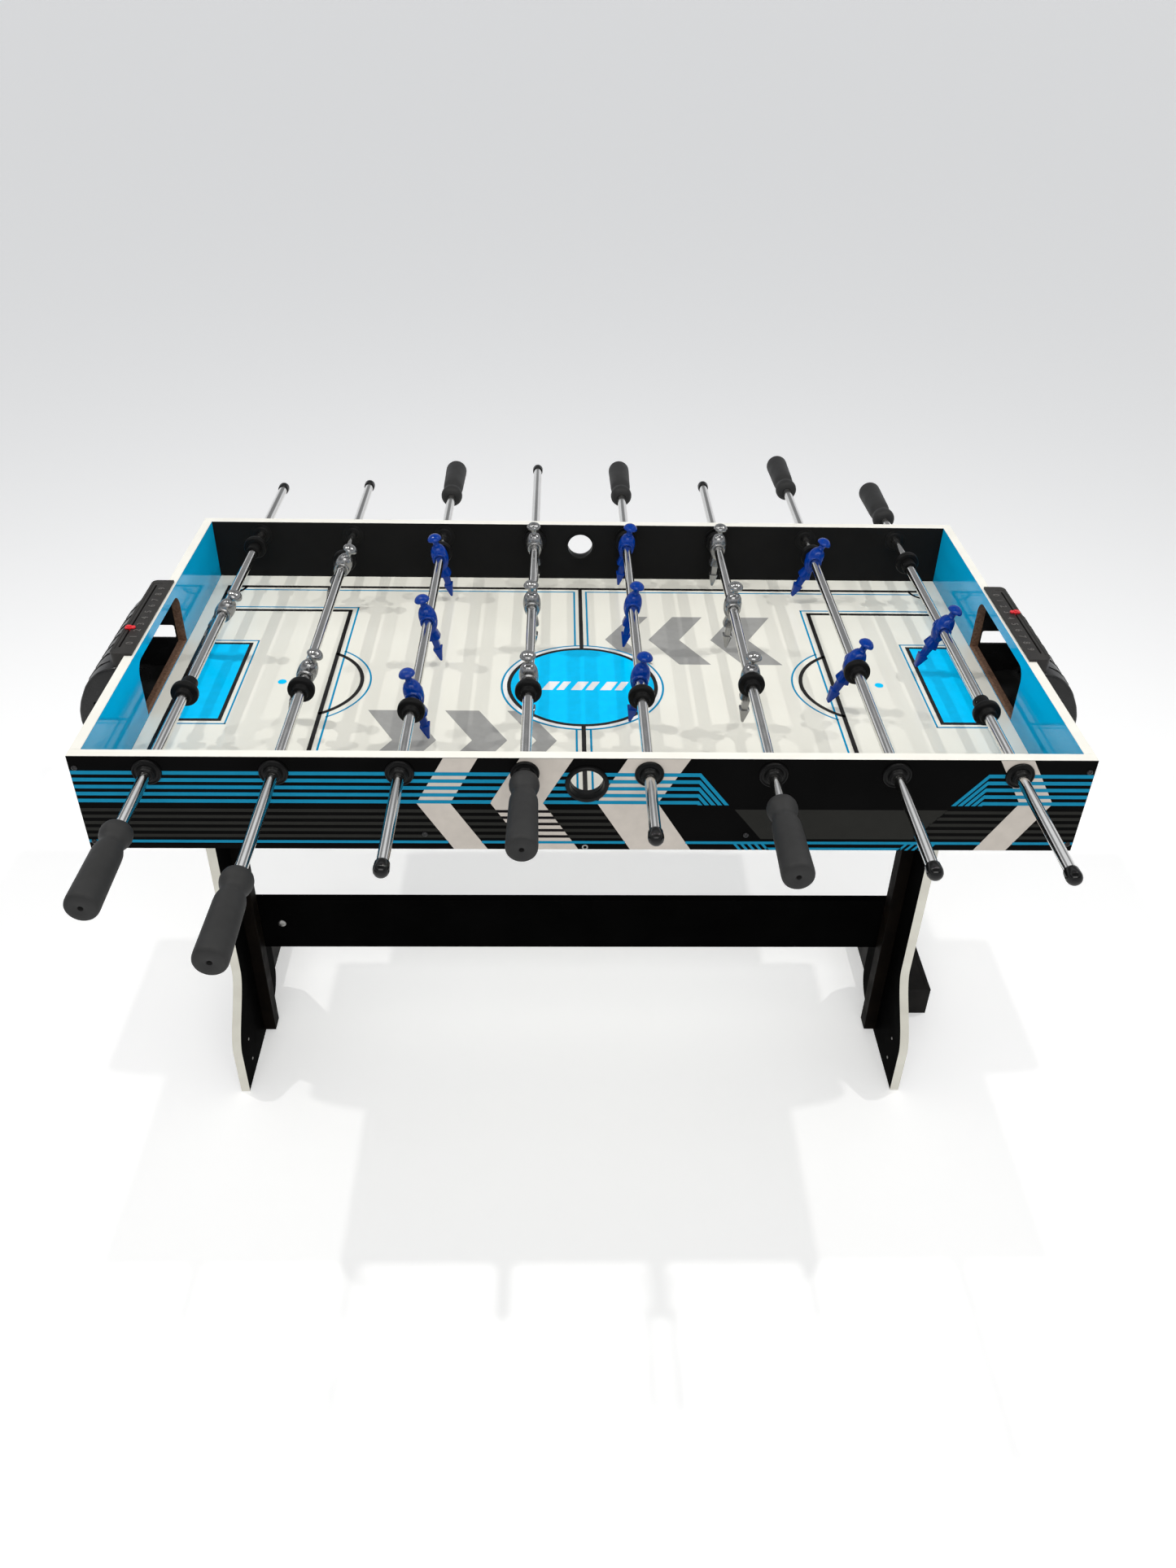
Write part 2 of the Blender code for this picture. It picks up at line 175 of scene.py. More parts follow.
M = {
    "laminate": finish_of("black laminate", (0.002, 0.002, 0.002), (0.28, 0.42),
                          (8.0, (0.003, 0.003, 0.003)), 12.0, (900.0, 0.00004, 0.6), specular=0.015),
    # a lighter copy of the black laminate: painted light on the rear board's inner face, which faces the
    # camera
    "laminate_painted_light": finish_of("black laminate with painted light", (0.0085, 0.0085, 0.0085), (0.28, 0.42),
                                (8.0, (0.0105, 0.0105, 0.0105)), 12.0, (900.0, 0.00004, 0.6), specular=0.035),
    "carcass": finish_of("black melamine", (0.0012, 0.0012, 0.0012), (0.42, 0.56),
                         (10.0, (0.002, 0.002, 0.002)), 18.0, (1300.0, 0.00004, 0.6),
                         specular=0.02, ior=1.12),
    "beam": finish_of("black painted beam", (0.012, 0.0115, 0.011), (0.45, 0.6),
                      (40.0, (0.016, 0.015, 0.014)), 30.0, (900.0, 0.00006, 0.6), specular=0.04),
    "cyan": finish_of("cyan laminate", (0.0, 0.42, 0.76), (0.06, 0.12), (3.0, (0.0, 0.4, 0.73)),
                      6.0, (260.0, 0.00002, 0.5), coat=0.15, specular=0.22),
    "field": finish_of("white field", (0.81, 0.8, 0.725), (0.1, 0.17), (5.0, (0.78, 0.77, 0.695)),
                       7.0, (300.0, 0.00002, 0.5), coat=0.15, specular=0.35),
    "band": finish_of("white edge banding", (0.83, 0.82, 0.755), (0.3, 0.42), (30.0, (0.8, 0.785, 0.72)),
                      40.0, (900.0, 0.00003, 0.6)),
    # a darker copy of the white edge banding: painted shade on the legs' front edges under the table
    "shaded_leg_band": finish_of("edge banding with painted shade", (0.66, 0.645, 0.57), (0.34, 0.46), (30.0, (0.62, 0.6, 0.53)),
                          40.0, (900.0, 0.00003, 0.6), specular=0.2),
    "fibre": finish_of("fibreboard edge", (0.15, 0.075, 0.042), (0.66, 0.85), (260.0, (0.25, 0.14, 0.085)),
                       60.0, (1500.0, 0.0003, 1.0)),
    "ink_black": paint("black ink", (0.013, 0.012, 0.012)),
    "ink_blue": paint("blue ink", (0.0, 0.25, 0.47), (0.16, 0.26), 0.03, 0.08),
    "ink_cyan": paint("cyan ink", (0.0, 0.54, 0.95), (0.16, 0.26), 0.03, 0.06),
    "ink_grey": paint("grey ink", (0.33, 0.33, 0.32)),
    "ink_white": paint("white ink", (0.82, 0.82, 0.81)),
    "panel_taupe": paint("light taupe print", (0.53, 0.485, 0.435), (0.3, 0.42), 0.0, 0.15),
    "panel_blue": paint("panel blue print", (0.0, 0.21, 0.37), (0.28, 0.4), 0.0, 0.1),
    "panel_grey": paint("charcoal print", (0.018, 0.018, 0.016), (0.34, 0.46), 0.0, 0.05),
    "panel_dark": paint("dark print", (0.005, 0.004, 0.005), (0.3, 0.42), 0.0, 0.05),
    "moulding": finish_of("black moulding", (0.011, 0.011, 0.011), (0.22, 0.36),
                          (40.0, (0.016, 0.016, 0.016)), 25.0, (1600.0, 0.00006, 0.7), specular=0.3),
    "counter": finish_of("textured black moulding", (0.016, 0.015, 0.014), (0.42, 0.56),
                         (60.0, (0.024, 0.022, 0.02)), 30.0, (2600.0, 0.00012, 0.9), specular=0.25),
    # the figures are the counter's black, lightened as a painted highlight on their raised edges
    "figures": finish_of("figures with painted highlight", (0.09, 0.086, 0.08), (0.3, 0.42), (60.0, (0.11, 0.104, 0.098)),
                         30.0, (2600.0, 0.00006, 0.6), specular=0.4),
    "bush": finish_of("black bush", (0.005, 0.005, 0.005), (0.3, 0.42), (60.0, (0.008, 0.008, 0.008)),
                      50.0, (1500.0, 0.00004, 0.6), specular=0.09),
    "steel": finish_of("chromed tube", (0.8, 0.79, 0.77), (0.11, 0.16), (25.0, (0.76, 0.75, 0.73)),
                       45.0, (1500.0, 0.000003, 0.3), metallic=1.0),
    "screw": finish_of("zinc screw", (0.34, 0.33, 0.32), (0.26, 0.38), (200.0, (0.26, 0.26, 0.25)),
                       150.0, (2500.0, 0.00004, 0.6), metallic=1.0),
    "dark_screw": finish_of("black screw", (0.02, 0.02, 0.021), (0.22, 0.34),
                            (200.0, (0.035, 0.035, 0.036)), 150.0, (2500.0, 0.00004, 0.6), metallic=0.6),
    "grip": finish_of("grip rubber", (0.019, 0.019, 0.019), (0.5, 0.66), (14.0, (0.026, 0.026, 0.026)),
                      30.0, (2200.0, 0.0001, 0.8), specular=0.2),
    "rubber": finish_of("bumper rubber", (0.004, 0.004, 0.004), (0.38, 0.52), (30.0, (0.007, 0.007, 0.007)),
                        40.0, (1800.0, 0.0001, 0.8), specular=0.09),
    "cap": finish_of("cap rubber", (0.003, 0.003, 0.003), (0.09, 0.15), (60.0, (0.005, 0.005, 0.005)),
                     50.0, (1500.0, 0.00001, 0.3), specular=0.28),
    "silver": finish_of("silver figure", (0.27, 0.27, 0.27), (0.21, 0.28), (1400.0, (0.31, 0.31, 0.31), 0.3),
                        60.0, (60.0, 0.00003, 0.3), metallic=0.88),
    "blue": finish_of("blue figure", (0.0005, 0.034, 0.26), (0.07, 0.13), (20.0, (0.0005, 0.029, 0.22)),
                      60.0, (60.0, 0.00005, 0.3), coat=0.12, specular=0.2),
    "red": finish_of("red marker", (0.75, 0.018, 0.03), (0.26, 0.38), (60.0, (0.62, 0.012, 0.02)),
                     60.0, (1200.0, 0.00005, 0.6), coat=0.2),
    "batten": finish_of("painted batten", (0.0028, 0.0022, 0.0018), (0.5, 0.66),
                        (30.0, (0.005, 0.0036, 0.0026)), 40.0, (500.0, 0.0001, 0.8, (1.0, 1.0, 0.1)),
                        specular=0.2, ior=1.15),
}


# ---------------------------------------------------------------- mesh tools

def mesh_of(bm, name, angle=32.0):
    bmesh.ops.recalc_face_normals(bm, faces=bm.faces)
    mesh = bpy.data.meshes.new(name)
    bm.to_mesh(mesh)
    bm.free()
    mesh.shade_smooth()
    mesh.set_sharp_from_angle(angle=math.radians(angle))
    return mesh


def prism(outline, low, high, axis, bm=None):
    """Adds an outline of two coordinates, extruded from low to high along the third one."""
    made = bm or bmesh.new()
    turn = {"X": lambda a, b, d: (d, a, b), "Y": lambda a, b, d: (a, d, b), "Z": lambda a, b, d: (a, b, d)}
    rings = [[made.verts.new(turn[axis](a, b, d)) for a, b in outline] for d in (low, high)]
    made.faces.new(rings[0])
    made.faces.new(rings[1])
    for i in range(len(outline)):
        j = (i + 1) % len(outline)
        made.faces.new((rings[0][i], rings[0][j], rings[1][j], rings[1][i]))
    return made


def rectangle(a0, b0, a1, b1):
    return [(a0, b0), (a1, b0), (a1, b1), (a0, b1)]


def soften(points, radius, steps=4, closed=True):
    """Rounds the corners of a polyline."""
    made = []
    count = len(points)
    for i, p in enumerate(points):
        if not closed and i in (0, count - 1):
            made.append(p)
            continue
        here, last, then = Vector(p), Vector(points[i - 1]), Vector(points[(i + 1) % count])
        reach = min(radius, 0.45 * (last - here).length, 0.45 * (then - here).length)
        start = here + (last - here).normalized() * reach
        end = here + (then - here).normalized() * reach
        for k in range(steps + 1):
            t = k / steps
            q = start * (1 - t) ** 2 + here * 2 * t * (1 - t) + end * t * t
            made.append((q.x, q.y))
    return made


def arc(centre, radius, start, end, steps):
    angles = [math.radians(start + (end - start) * i / steps) for i in range(steps + 1)]
    return [(centre[0] + radius * math.cos(t), centre[1] + radius * math.sin(t)) for t in angles]


def turned(profile, closed=False, segments=40, bm=None):
    """Adds a profile of (along Y, radius) points turned about the Y axis; radius 0 makes a pole."""
    made = bm or bmesh.new()
    rings = []
    for y, radius in profile:
        if radius < 1e-7:
            rings.append([made.verts.new((0.0, y, 0.0))])
            continue
        turns = [math.tau * i / segments for i in range(segments)]
        rings.append([made.verts.new((radius * math.sin(t), y, radius * math.cos(t))) for t in turns])
    pairs = list(zip(rings, rings[1:]))
    if closed:
        pairs.append((rings[-1], rings[0]))
    for first, second in pairs:
        for i in range(segments):
            j = (i + 1) % segments
            if len(first) == 1:
                made.faces.new((first[0], second[i], second[j]))
            elif len(second) == 1:
                made.faces.new((first[i], first[j], second[0]))
            else:
                made.faces.new((first[i], first[j], second[j], second[i]))
    return made


def flipped(profile):
    return [(-y, r) for y, r in profile]


def linked(name, data):
    made = bpy.data.objects.new(name, data)
    bpy.context.scene.collection.objects.link(made)
    return made


def final_mesh(made):
    """An object's mesh after its modifiers."""
    return bpy.data.meshes.new_from_object(made.evaluated_get(bpy.context.evaluated_depsgraph_get()))


def put(name, mesh, look, body, stands_for=(), at=None, bevel=0.0, segments=3):
    """Puts a piece in the scene, riding on a body, with its look."""
    made = linked(name, mesh)
    if not mesh.materials:
        mesh.materials.append(M[look])
    made.material_slots[0].link = "OBJECT"
    made.material_slots[0].material = M[look]
    if at is not None:
        made.matrix_world = at
    if bevel:
        step = made.modifiers.new("edge", "BEVEL")
        step.width = bevel
        step.segments = segments
        step.limit_method = "ANGLE"
        step.angle_limit = math.radians(40)
        step.harden_normals = True
    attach(made, body)
    if stands_for:
        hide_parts(*stands_for)
    return made


def carve(mesh, *tools):
    """Cuts closed meshes out of a mesh and returns the result."""
    body = linked("work", mesh)
    extra = [linked("tool", tool) for tool in tools]
    for other in extra:
        step = body.modifiers.new("cut", "BOOLEAN")
        step.operation = "DIFFERENCE"
        step.solver = "EXACT"
        step.object = other
    done = final_mesh(body)
    for used in [body] + extra:
        bpy.data.objects.remove(used, do_unlink=True)
    done.shade_smooth()
    done.set_sharp_from_angle(angle=math.radians(32))
    return done


def beveled(mesh, width, segments=3, angle=40.0):
    """Returns the mesh with its sharp edges rounded."""
    body = linked("work", mesh)
    step = body.modifiers.new("edge", "BEVEL")
    step.width, step.segments = width, segments
    step.limit_method, step.angle_limit = "ANGLE", math.radians(angle)
    done = final_mesh(body)
    bpy.data.objects.remove(body, do_unlink=True)
    return done


def moved(mesh, matrix):
    mesh.transform(matrix)
    return mesh


def rod_hole(x, y, z, radius, reach=0.03, segments=40):
    tube = turned([(-reach, 0.0), (-reach, radius), (reach, radius), (reach, 0.0)], segments=segments)
    return moved(mesh_of(tube, "hole"), shift(x, y, z))


def rotation(degrees, axis):
    return Matrix.Rotation(math.radians(degrees), 4, axis)


def shift(x, y, z):
    return Matrix.Translation((x, y, z))


def facing_out(side, x, z):
    """A place on the outer face of a long panel, with +Y away from the box."""
    return shift(x, side * WIDTH, z) @ rotation(90 - 90 * side, "Z")


# ---------------------------------------------------------------- play box

def panel_board(low, high, name):
    """A panel's board, without the banding on its top edge."""
    return mesh_of(prism(rectangle(low.y, low.z, high.y, high.z - BAND), low.x, high.x, "X"), name)


def rim_banding(low, high, name):
    strip = prism(rectangle(low.y, high.z - BAND, high.y, high.z), low.x, high.x, "X")
    put(f"{name}_rim_banding", mesh_of(strip, "banding"), "band", "table", bevel=0.0006)


def make_side_panels():
    """Boards with bush holes and a ball entry, and the light banding on their top edge."""
    for name, side in LONG_SIDES:
        low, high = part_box(f"{name}_side_panel")
        board = panel_board(low, high, f"{name}_side_board")
        middle = (low.y + high.y) / 2
        holes = [rod_hole(x, middle, ROD_Z, 0.0118) for x in ROD_X]
        holes.append(rod_hole(0.0, middle, ENTRY_Z, 0.0244, segments=56))
        board = carve(board, *holes)
        # the rear board takes the lighter copy of the laminate, with painted light on its inner face
        look = "laminate" if side < 0 else "laminate_painted_light"
        put(f"{name}_side_board", board, look, "table", [f"{name}_side_panel"],
            bevel=0.0005)
        rim_banding(low, high, name)


def make_end_panels():
    """Boards with a goal mouth: cyan inside, black outside, bare fibreboard in the cut."""
    for label, side in SIDES:
        low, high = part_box(f"{label}_end_panel")
        board = panel_board(low, high, f"{label}_end_board")
        wide, top, sill, corner = 0.118, 0.792, FIELD + 0.0015, 0.022
        mouth = [(-wide, sill), (wide, sill)]
        mouth += arc((wide - corner, top - corner), corner, 0, 90, 12)
        mouth += arc((corner - wide, top - corner), corner, 90, 180, 12)
        board = carve(board, mesh_of(prism(mouth, low.x - 0.02, high.x + 0.02, "X"), "mouth"))
        put(f"{label}_end_board", board, "cyan", "table",
            [f"{label}_end_panel"], bevel=0.0004)
        for look in ("fibre", "carcass"):
            board.materials.append(M[look])
        outside, cut = 2, 1
        for face in board.polygons:
            if face.normal.x * side > 0.7:
                face.material_index = outside
            elif face.normal.x * side > -0.7:
                face.material_index = cut
        rim_banding(low, high, label)


def make_entries():
    """Flanged rings in the ball entries, with a stepped funnel that lines the hole."""
    profile = [(0.0036, 0.0236), (0.0042, 0.0246), (0.0042, 0.027), (0.0034, 0.0284), (0.0024, 0.0292)]
    profile += [(0.0002, 0.0297), (0.0002, 0.0242), (-0.0152, 0.0242), (-0.0152, 0.0264), (-0.0168, 0.026)]
    profile += [(-0.0172, 0.024), (-0.0164, 0.0226), (-0.007, 0.0222), (-0.0064, 0.0228), (0.001, 0.0229)]
    mesh = mesh_of(turned(profile, closed=True, segments=72), "entry", 28)
    for name, side in LONG_SIDES:
        put(f"{name}_ball_entry", mesh, "bush", "table", at=facing_out(side, 0.0, ENTRY_Z))


def make_bushes():
    """Flanged bushes in both side panels, with a raised rim and a nose outside."""
    profile = [(0.0116, 0.00815), (0.0116, 0.0096), (0.0109, 0.0105), (0.0088, 0.0112), (0.0084, 0.0119)]
    profile += [(0.005, 0.0124), (0.0034, 0.0134), (0.0026, 0.0152), (0.0026, 0.0166), (0.0036, 0.0172)]
    profile += [(0.0038, 0.0182), (0.0032, 0.0192), (0.0016, 0.0197), (0.0002, 0.0197), (0.0002, 0.0116)]
    profile += [(-0.0152, 0.0116), (-0.0152, 0.02), (-0.016, 0.0202), (-0.0166, 0.0196), (-0.0166, 0.015)]
    profile += [(-0.0174, 0.014), (-0.0178, 0.0125), (-0.0178, 0.00815)]
    mesh = mesh_of(turned(profile, closed=True, segments=48), "bush", 30)
    for n, x in enumerate(ROD_X, 1):
        for name, side in LONG_SIDES:
            put(f"rod_{n}_{name}_bush", mesh, "bush", "table", at=facing_out(side, x, ROD_Z))


def film(name, shapes, look, plane, level):
    """Printed shapes as one thin film. plane gives the function that turns (a, b, height) into a place."""
    thickness = 0.00012 * level
    bm = bmesh.new()
    for outline in shapes:
        bottom = [bm.verts.new(plane(a, b, 0.0)) for a, b in outline]
        top = [bm.verts.new(plane(a, b, thickness)) for a, b in outline]
        bm.faces.new(bottom)
        bm.faces.new(top)
        for i in range(len(outline)):
            j = (i + 1) % len(outline)
            bm.faces.new((bottom[i], bottom[j], top[j], top[i]))
    bm.normal_update()
    bmesh.ops.triangulate(bm, faces=[f for f in bm.faces if len(f.verts) > 4])
    put(name, mesh_of(bm, name), look, "table")


def ring_part(centre, inner, outer, start, end, steps):
    """A band of a circle, as quadrilaterals."""
    out = arc(centre, outer, start, end, steps)
    inside = arc(centre, inner, start, end, steps)
    return [[inside[i], out[i], out[i + 1], inside[i + 1]] for i in range(steps)]


def frame_lines(x0, y0, x1, y1, width):
    """The four sides of a rectangle's outline, drawn inwards."""
    return [rectangle(x0, y0, x1, y0 + width), rectangle(x0, y1 - width, x1, y1),
            rectangle(x0, y0 + width, x0 + width, y1 - width),
            rectangle(x1 - width, y0 + width, x1, y1 - width)]


def block(side, near, far, edge_a, edge_b):
    """A rectangle on one side of the middle, from near to far along X and between two edges across."""
    x0, x1 = sorted((side * near, side * far))
    y0, y1 = sorted((edge_a, edge_b))
    return rectangle(x0, y0, x1, y1)


def chevron(tip_x, tip_y, thick, point):
    """A chevron whose tip points to point (-1 or +1) along X."""
    rise, run = 0.084, 0.047
    places = ((0.0, 0.0), (run, rise), (run + thick, rise), (thick, 0.0), (run + thick, -rise), (run, -rise))
    return [(tip_x - point * back, tip_y + up) for back, up in places]


def make_field_print():
    """The pitch markings, which sit a little towards the front of the board."""
    def plane(a, b, height):
        return (a, b, FIELD + 0.00002 + height)

    mid = -0.02
    black, blue, cyan = [], [], []
    top, low = 0.329, -0.35
    black += frame_lines(-0.6475, low, 0.6475, top, 0.007)
    box_mid, deep, goal_mid = -0.014, 0.406, -0.009
    for s in (-1, 1):
        inner, outer = sorted((s * 0.0093, s * 0.6315))
        blue += frame_lines(inner, low + 0.0145, outer, top - 0.0145, 0.0032)
        black.append(block(s, deep, deep + 0.0066, box_mid - 0.25, box_mid + 0.25))
        blue.append(block(s, deep - 0.0105, deep - 0.0073, box_mid - 0.2607, box_mid + 0.2607))
        centre = (s * 0.466, box_mid - 0.002)
        facing = 180 if s > 0 else 0
        black += ring_part(centre, 0.106, 0.1122, facing - 60, facing + 60, 40)
        blue += ring_part(centre, 0.1215, 0.1245, facing - 57, facing + 57, 40)
        cyan.append(arc((s * 0.485, box_mid), 0.007, 0, 345, 23))
        cyan.append(block(s, 0.563, 0.627, goal_mid - 0.1165, goal_mid + 0.1165))
        black.append(block(s, 0.557, 0.563, goal_mid - 0.1165, goal_mid + 0.1165))
        blue.append(block(s, 0.548, 0.5508, goal_mid - 0.1318, goal_mid + 0.1318))
        for edge in (-1, 1):
            black.append(block(s, deep, 0.6405, box_mid + edge * 0.2434, box_mid + edge * 0.25))
            blue.append(block(s, deep - 0.0105, 0.6405, box_mid + edge * 0.2575, box_mid + edge * 0.2607))
            black.append(block(s, 0.557, 0.6405, goal_mid + edge * 0.1165, goal_mid + edge * 0.1225))
            blue.append(block(s, 0.548, 0.6405, goal_mid + edge * 0.129, goal_mid + edge * 0.1318))
        for edge, y in ((1, top), (-1, low)):
            start = {(-1, 1): 270, (1, 1): 180, (-1, -1): 0, (1, -1): 90}[(s, edge)]
            black += ring_part((s * 0.6475, y), 0.033, 0.0375, start, start + 90, 12)
    black += [rectangle(-0.0033, mid + 0.1215, 0.0033, top), rectangle(-0.0033, low, 0.0033, mid - 0.1215)]
    grey = []
    for tip, thick in ((0.041, 0.031), (0.116, 0.053), (0.223, 0.066)):
        grey.append(chevron(tip, mid + 0.154, thick, -1))
        grey.append(chevron(-tip, mid - 0.162, thick, 1))
    disc = (0.0, mid)
    film("field_print_grey", grey, "ink_grey", plane, 1)
    film("field_print_blue", blue, "ink_blue", plane, 2)
    film("field_circle_gap", [arc(disc, 0.129, 0, 355, 71)], "ink_white", plane, 3)
    film("field_circle_blue", ring_part(disc, 0.129, 0.1322, 0, 360, 96), "ink_blue", plane, 4)
    film("field_print_black", black + ring_part(disc, 0.116, 0.1222, 0, 360, 96), "ink_black", plane, 5)
    film("field_print_cyan", cyan + [arc(disc, 0.116, 0, 356, 89)], "ink_cyan", plane, 4)
    lean, low_edge, top_edge = 0.012, mid - 0.015, mid + 0.011
    white = []
    for k in range(6):
        x = -0.066 + 0.0235 * k
        wide = 0.012 if k % 2 else 0.0175
        white.append([(x, low_edge), (x + wide, low_edge), (x + wide + lean, top_edge), (x + lean, top_edge)])
    film("field_disc_bars", white, "ink_white", plane, 6)


def panel_shapes():
    """The long panels' print, as outlines of (along the panel, height) for each colour."""
    reach = LENGTH - 0.0004
    bands = [(0.786 - 0.0115 * k, 0.7802 - 0.0115 * k) for k in range(5)]
    turn, mirror = 0.1526, 0.542
    end_z = 0.733
    slope = 0.79
    top, low = RIM - 0.0012, BOTTOM + 0.0004
    chevrons = {
        1: [(-0.1912, top), (-0.1456, top), (-0.1853, 0.7345), (-0.1368, low), (-0.1834, low),
            (-0.2309, 0.7345)],
        2: [(-0.09, top), (-0.0185, top), (-0.0593, 0.7355), (-0.0105, low), (-0.082, low), (-0.131, 0.7355)],
        3: [(0.0535, top), (0.1375, top), (0.097, 0.736), (0.1466, low), (0.062, low), (0.014, 0.736)],
        4: [(0.553, top), (0.5985, top), (0.6395, 0.737), (0.5918, low), (0.546, low), (0.5937, 0.737)],
    }

    def across(points, z, first, second):
        """The X where the line through two of a chevron's corners is at height z."""
        (xa, za), (xb, zb) = points[first], points[second]
        return xa + (xb - xa) * (z - za) / (zb - za)

    blue, grey, dark = [], [], []
    for k, (z1, z0) in enumerate(bands):
        left_of_2 = [(-reach, z0), (across(chevrons[2], z0, 0, 5), z0), (across(chevrons[2], z1, 0, 5), z1),
                     (-reach, z1)]
        if k == 4:
            left_of_2[1] = (-0.131, z0)
        blue.append(left_of_2)
        gap = abs(ENTRY_Z - min(max(ENTRY_Z, z0), z1))
        near = math.sqrt(max(0.025 ** 2 - gap ** 2, 0.0))
        left, right = across(chevrons[2], z0, 1, 2), across(chevrons[2], z1, 1, 2)
        if k == 4:
            left = -0.0593
        start, finish = left, right
        if near:
            blue.append([(left, z0), (-near, z0), (-near, z1), (right, z1)])
            start = finish = near
        wide = 0.0054
        corner = [(start, z0), (turn - wide * 0.28, z0), (turn + (z0 - end_z) * slope - wide * 0.28, end_z),
                  (turn + (z1 - end_z) * slope, end_z), (turn, z1)]
        blue.append(corner + [(finish, z1)])
        run = [(reach, z0), (mirror + wide * 0.28, z0), (mirror - (z0 - end_z) * slope + wide * 0.28, end_z),
               (mirror - (z1 - end_z) * slope, end_z), (mirror, z1), (reach, z1)]
        blue.append(run)
    line_top, line_low = 0.67, 0.6655

    def clear_runs(z, x0, x1):
        """The parts of a run at height z that no solid lower chevron arm covers."""
        cuts = sorted(sorted((across(chevrons[n], z, 5, 4), across(chevrons[n], z, 2, 3))) for n in (1, 3, 4))
        runs, at = [], x0
        for a, b in cuts:
            if a > at and a < x1:
                runs.append((at, a))
            at = max(at, b)
        runs.append((at, x1))
        return [(a, b) for a, b in runs if b > a]

    for a, b in clear_runs((line_top + line_low) / 2, -reach, reach):
        blue.append(rectangle(a, line_low, b, line_top))
    blue.append(rectangle(0.2535, 0.655, 0.443, 0.6592))
    for k in range(5):
        x = 0.206 + 0.0097 * k
        drop = line_low - (0.655 if k == 4 else BOTTOM)
        for sign, at in ((1, x), (-1, 0.6965 - x)):
            foot, stroke = at + sign * drop * 0.8, sign * 0.0044
            blue.append([(at, line_low), (at + stroke, line_low),
                         (foot + stroke, line_low - drop), (foot, line_low - drop)])
    grey_top, grey_low = 0.7255, 0.6745
    grey.append([(0.203, grey_top), (0.497, grey_top), (0.4565, grey_low), (0.2435, grey_low)])
    for k in range(5):
        z1 = 0.724 - 0.0109 * k
        z0 = z1 - 0.0053
        share = (grey_top - (z0 + z1) / 2) / (grey_top - grey_low)
        a, b = 0.203 + 0.0405 * share, 0.497 - 0.0405 * share
        for x0, x1 in ((-reach, a), (b, reach)):
            for c, d in clear_runs((z0 + z1) / 2, x0, x1):
                grey.append(rectangle(c, z0, d, z1))
        z1, z0 = 0.7236 - 0.0108 * k, 0.719 - 0.0108 * k
        dark.append([(across(chevrons[2], z0, 5, 4), z0), (across(chevrons[2], z0, 2, 3), z0),
                     (across(chevrons[2], z1, 2, 3), z1), (across(chevrons[2], z1, 5, 4), z1)])
    return blue, grey, dark, list(chevrons.values())


def make_panel_print():
    """The print on the outside of both long panels; the rear one is the front one turned round."""
    blue, grey, dark, taupe = panel_shapes()
    for name, side in LONG_SIDES:
        def plane(a, b, height, side=side):
            return (-side * a, side * (WIDTH + 0.00002 + height), b)

        film(f"{name}_print_grey", grey, "panel_grey", plane, 1)
        film(f"{name}_print_taupe", taupe, "panel_taupe", plane, 2)
        film(f"{name}_print_dark", dark, "panel_dark", plane, 3)
        film(f"{name}_print_blue", blue, "panel_blue", plane, 3)


# ---------------------------------------------------------------- ends

def pushed(points, middle, distance, side):
    """Points moved away from a middle, or towards it where distance is negative, on one side of the table."""
    made = []
    for x, z in points:
        away = Vector((x, z)) - middle
        spot = middle + away * (1 + distance / away.length)
        made.append((side * spot.x, spot.y))
    return made


def make_goal_boxes():
    """Bulging pockets with rounded cheeks, ribs, and a slot in each cheek."""
    for label, side in SIDES:
        low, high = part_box(f"{label}_goal_box")
        wide = high.y
        flange = min(abs(low.x), abs(high.x))
        outer = [(flange, low.z), (0.735, low.z), (0.757, 0.655), (0.77, 0.669), (0.775, 0.692)]
        outer += [(0.7735, 0.712), (0.768, 0.731), (0.756, 0.756), (0.746, 0.769), (0.734, 0.7795)]
        outer += [(0.719, 0.786), (0.704, high.z), (flange, high.z)]
        outer = [(x - 0.0012 if x > 0.73 else x, z) for x, z in outer]
        shell = [(side * x, z) for x, z in soften(outer, 0.006, 3)]
        pocket = beveled(mesh_of(prism(shell, -wide, wide, "Y"), "shell"), 0.006, 4, 60.0)
        middle = Vector((0.72, 0.722))
        back = side * (LENGTH - 0.006)
        hollow = [(back, low.z + 0.003)] + pushed(outer[1:-1], middle, -0.0034, side)
        hollow.append((back, high.z - 0.0034))
        inside = mesh_of(prism(hollow, 0.004 - wide, wide - 0.004, "Y"), "inside")
        a, b = sorted((side * 0.6885, side * 0.747))
        gap = soften(rectangle(a, 0.7065, b, 0.731), 0.004)
        slot = mesh_of(prism(gap, -wide - 0.02, wide + 0.02, "Y"), "slot")
        pocket = carve(pocket, inside, slot)
        put(f"{label}_goal_pocket", pocket, "moulding", "table", [f"{label}_goal_box"])
        ribs = bmesh.new()
        for k in range(7):
            y = -0.096 + 0.032 * k
            rib = [(side * x, z) for x, z in outer[1:-2]]
            grown = pushed(outer[1:-2], middle, 0.0012, side)
            prism(rib + grown[::-1], y - 0.0014, y + 0.0014, "Y", ribs)
        put(f"{label}_goal_pocket_ribs", mesh_of(ribs, "ribs"), "moulding", "table",
            bevel=0.0007, segments=2)


def digit_mesh(figure):
    """One embossed figure, lying flat, its middle at the origin."""
    text = bpy.data.curves.new("figure", "FONT")
    text.body = figure
    text.size = 0.015
    text.extrude = 0.0003
    text.bevel_depth = 0.00006
    text.align_x = "CENTER"
    text.align_y = "CENTER"
    text.resolution_u = 4
    made = linked("figure", text)
    mesh = final_mesh(made)
    bpy.data.objects.remove(made, do_unlink=True)
    return mesh


